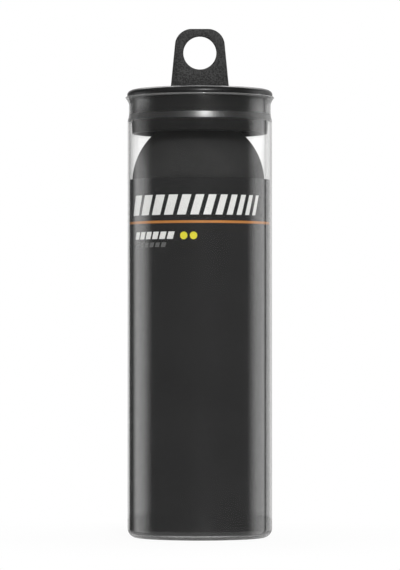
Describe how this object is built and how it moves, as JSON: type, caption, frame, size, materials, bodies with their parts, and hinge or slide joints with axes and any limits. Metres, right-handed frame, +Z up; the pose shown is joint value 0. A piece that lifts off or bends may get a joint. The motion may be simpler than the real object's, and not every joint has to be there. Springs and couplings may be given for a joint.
{
  "type": "squash ball tube pack",
  "caption": "Clear hanging tube pack of squash balls with a rolled printed label, a plug lid and a fold-down hang tab.",
  "frame": {"origin": "centre of the standing ring's plane, under the tube's axis", "axes": "+Z up along the tube's axis, -Y towards the printed front, +X to the right seen from the front"},
  "size_m": [0.045, 0.045, 0.1539],
  "materials": {
    "clear_plastic": "clear, polished",
    "printed_sheet": "smooth printed film, near black",
    "black_lid": "satin moulded black",
    "black_tab": "fine grained moulded black",
    "ball_rubber": "matte dusty black rubber",
    "ball_glue": "matte rubber cement"
  },
  "bodies": {
    "tube": {"clear_tube": "clear_plastic", "label_sheet": "printed_sheet"},
    "lid": {"lid": "black_lid", "hinge_web": "black_tab"},
    "hang_tab": {"hang_tab": "black_tab"},
    "bottom_ball": {"bottom_ball_lower_half": "ball_rubber", "bottom_ball_upper_half": "ball_rubber", "bottom_ball_bond": "ball_glue"},
    "middle_ball": {"middle_ball_lower_half": "ball_rubber", "middle_ball_upper_half": "ball_rubber", "middle_ball_bond": "ball_glue"},
    "top_ball": {"top_ball_lower_half": "ball_rubber", "top_ball_upper_half": "ball_rubber", "top_ball_bond": "ball_glue"}
  },
  "joints": [
    {"name": "lid_pull", "type": "slide", "parent": "tube", "child": "lid", "axis": [0, 0, 1], "range_m": [0, 0.04]},
    {"name": "tab_fold", "type": "hinge", "parent": "lid", "child": "hang_tab", "pos_m": [0, 0, 0.135], "axis": [1, 0, 0], "range_deg": [-90, 90], "deforming": ["hinge_web"]},
    {"name": "bottom_ball_rise", "type": "slide", "parent": "tube", "child": "bottom_ball", "axis": [0, 0, 1], "range_m": [0, 0.00155]},
    {"name": "middle_ball_rise", "type": "slide", "parent": "bottom_ball", "child": "middle_ball", "axis": [0, 0, 1], "range_m": [0, 0.00155]},
    {"name": "top_ball_rise", "type": "slide", "parent": "middle_ball", "child": "top_ball", "axis": [0, 0, 1], "range_m": [0, 0.00155]}
  ]
}
